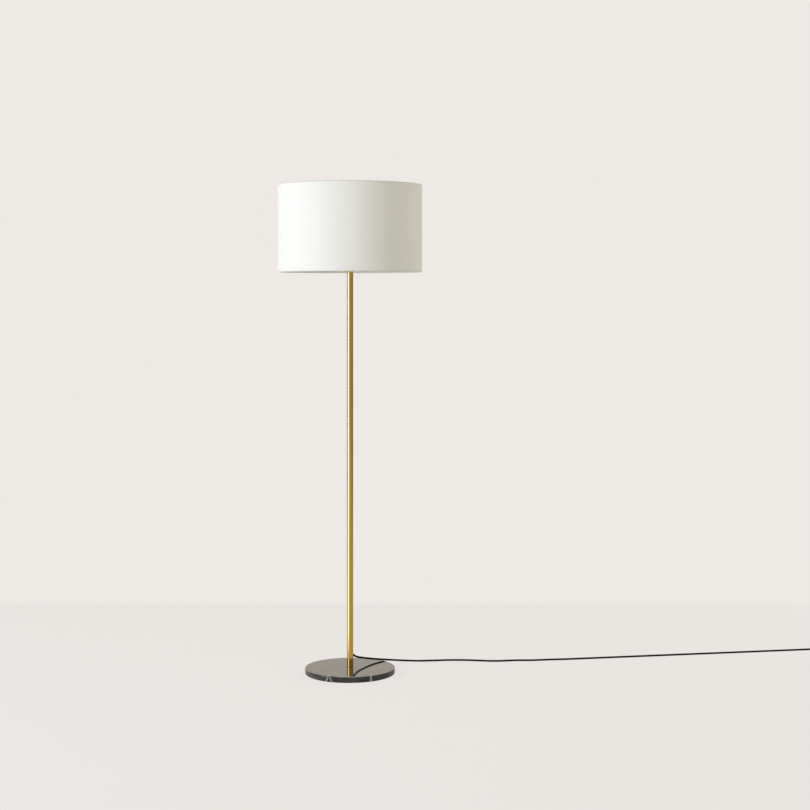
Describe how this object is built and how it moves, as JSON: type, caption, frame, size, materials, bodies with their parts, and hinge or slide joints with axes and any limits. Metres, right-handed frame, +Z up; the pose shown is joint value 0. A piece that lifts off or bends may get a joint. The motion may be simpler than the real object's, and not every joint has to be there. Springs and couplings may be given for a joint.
{
  "type": "floor lamp",
  "caption": "Floor lamp with a round fabric drum shade on a slim brass pole and a black marble disc base, with its mains cord and plug.",
  "frame": {"origin": "on the pole's axis, at floor level", "axes": "+Z up along the pole, +X to the right and +Y away from the viewer in the picture"},
  "size_m": [1.8787, 0.729, 1.523],
  "materials": {
    "black_marble": "polished, with white veins",
    "felt": "pressed felt",
    "satin_brass": "satin",
    "bare_brass": "bright",
    "zinc_steel": "zinc plated",
    "nickel": "nickel plated",
    "black_plastic": "fine moulded",
    "black_rubber": "soft matt",
    "black_cord": "smooth sheath",
    "black_strap": "woven hook strap",
    "core_insulation": "smooth",
    "white_ceramic": "matt",
    "white_enamel": "white enamel",
    "shade_liner": "smooth translucent sheet",
    "shade_textile": "fine plain weave",
    "seam_tape": "smooth",
    "white_plastic": "fine",
    "opal_globe": "frosted",
    "black_glass": "gloss"
  },
  "bodies": {
    "stand": {"floor_pad": "felt", "marble_base": "black_marble", "base_washer": "zinc_steel", "lock_washer": "zinc_steel", "base_bolt": "zinc_steel", "foot_insert": "zinc_steel", "lower_tube": "satin_brass", "upper_tube": "satin_brass", "pole_coupler": "zinc_steel", "cord_boot": "black_rubber", "top_insert": "zinc_steel", "pole_nipple": "zinc_steel", "nipple_nut": "zinc_steel", "inner_lead": "black_cord", "holder_cap": "black_plastic", "cap_set_screw": "zinc_steel", "holder_body": "black_plastic", "holder_insert": "white_ceramic", "terminal_screws": "bare_brass", "screw_shell": "nickel", "centre_contact": "bare_brass", "core_wires": "core_insulation", "switch_body": "black_plastic", "switch_bush": "zinc_steel", "bush_nut": "zinc_steel", "lower_ring_nut": "black_plastic", "upper_ring_nut": "black_plastic", "cord_run": "black_cord", "cord_coil": "black_cord", "plug_lead": "black_cord", "coil_tie": "black_strap", "plug_relief": "black_plastic", "plug_body": "black_plastic", "pin_sleeves": "black_plastic", "plug_pins": "nickel"},
    "knob": {"switch_spindle": "zinc_steel", "switch_knob": "black_plastic"},
    "shade": {"fitter_ring": "white_enamel", "carrier_arms": "white_enamel", "bottom_ring": "white_enamel", "top_ring": "white_enamel", "shade_liner": "shade_liner", "shade_fabric": "shade_textile", "seam_tape": "seam_tape"},
    "bulb": {"bulb_tip": "nickel", "bulb_insulator": "black_glass", "bulb_screw_cap": "nickel", "bulb_housing": "white_plastic", "bulb_globe": "opal_globe"}
  },
  "joints": [
    {"name": "switch_turn", "type": "hinge", "parent": "stand", "child": "knob", "pos_m": [0.03, 0, 1.287], "axis": [1, 0, 0], "continuous": true},
    {"name": "shade_turn", "type": "hinge", "parent": "stand", "child": "shade", "pos_m": [0, 0, 1.307], "axis": [0, 0, 1], "continuous": true},
    {"name": "bulb_lift", "type": "slide", "parent": "stand", "child": "bulb", "axis": [0, 0, 1], "range_m": [0, 0.25]}
  ]
}
